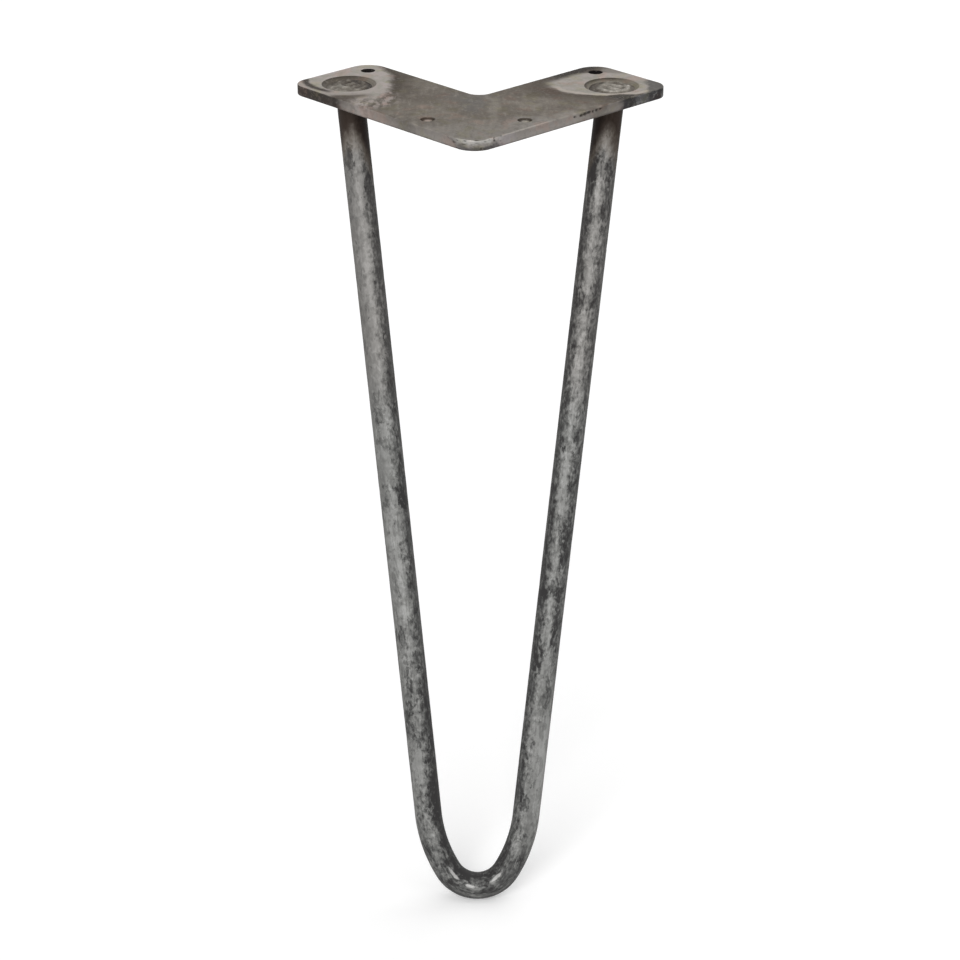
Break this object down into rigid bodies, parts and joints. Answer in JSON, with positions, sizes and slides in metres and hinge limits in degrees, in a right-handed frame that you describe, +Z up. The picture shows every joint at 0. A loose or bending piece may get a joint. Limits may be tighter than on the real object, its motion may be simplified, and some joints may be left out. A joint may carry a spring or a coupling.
{
  "type": "hairpin table leg",
  "caption": "Hairpin table leg: a round raw-steel bar bent into a narrow splayed U, plug-welded at both ends into a flat V-shaped mounting plate with screw holes.",
  "frame": {"origin": "on the plate's top face, the mounting face, where the centre lines of the arms cross", "axes": "+Z up into the table top, +Y away from the plate's outer corner, X along the two bar ends"},
  "size_m": [0.1526, 0.1024, 0.3555],
  "materials": {
    "plate_steel": "raw hot-rolled steel with mill scale and heat tint round the welds",
    "rod_steel": "raw drawn bar, bright in patches and mottled with dark scale",
    "weld_steel": "as welded, rippled"
  },
  "bodies": {
    "root": {"mounting_plate": "plate_steel", "hairpin_rod": "rod_steel", "left_weld": "weld_steel", "right_weld": "weld_steel"}
  },
  "joints": []
}
